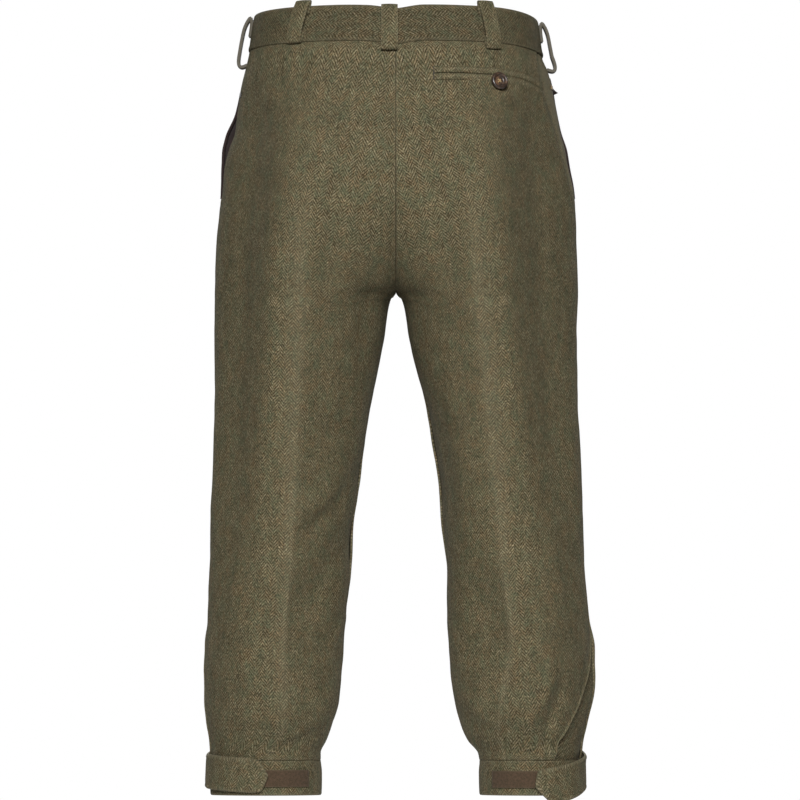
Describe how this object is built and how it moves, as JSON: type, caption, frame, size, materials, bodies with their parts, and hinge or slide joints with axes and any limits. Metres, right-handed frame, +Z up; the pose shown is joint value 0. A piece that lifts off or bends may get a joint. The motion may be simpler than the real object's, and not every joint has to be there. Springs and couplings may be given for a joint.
{
  "type": "knee breeches",
  "caption": "Tweed knee breeches, empty and hanging as worn: belt-looped waistband, buttoned back pocket, side pockets, pressed legs and tabbed cuffs below the knee.",
  "frame": {"origin": "centre of the waist opening, half way up the waistband", "axes": "+Z up, +X to the wearer's right, +Y to the wearer's front"},
  "size_m": [0.4084, 0.2915, 0.8201],
  "materials": {
    "tweed": "matt olive-brown herringbone wool tweed with green, rust and straw flecks",
    "pocket_trim": "dark brown finely ribbed trim cloth",
    "hook_strip": "brown woven fastening strip with a looped pile",
    "horn_button": "polished dark horn look with paler streaks"
  },
  "bodies": {
    "root": {"back_left": "tweed", "back_right": "tweed", "front_left": "tweed", "front_right": "tweed", "waistband_left": "tweed", "waistband_right": "tweed", "belt_loop_back_centre": "tweed", "belt_loop_back_left": "tweed", "belt_loop_back_right": "tweed", "belt_loop_side_left": "tweed", "belt_loop_side_right": "tweed", "belt_loop_front_left": "tweed", "belt_loop_front_right": "tweed", "pocket_welt_upper": "tweed", "pocket_welt_lower": "tweed", "slit_underlap_left": "tweed", "slit_underlap_right": "tweed", "cuff_left": "tweed", "cuff_right": "tweed", "cuff_tab_left": "tweed", "cuff_tab_right": "tweed", "pocket_facing_left": "pocket_trim", "pocket_facing_right": "pocket_trim", "pocket_edging_left": "pocket_trim", "pocket_edging_right": "pocket_trim", "pocket_corner_right": "pocket_trim", "hook_strip_left": "hook_strip", "hook_strip_right": "hook_strip", "pocket_button": "horn_button", "waist_button": "horn_button"}
  },
  "joints": []
}
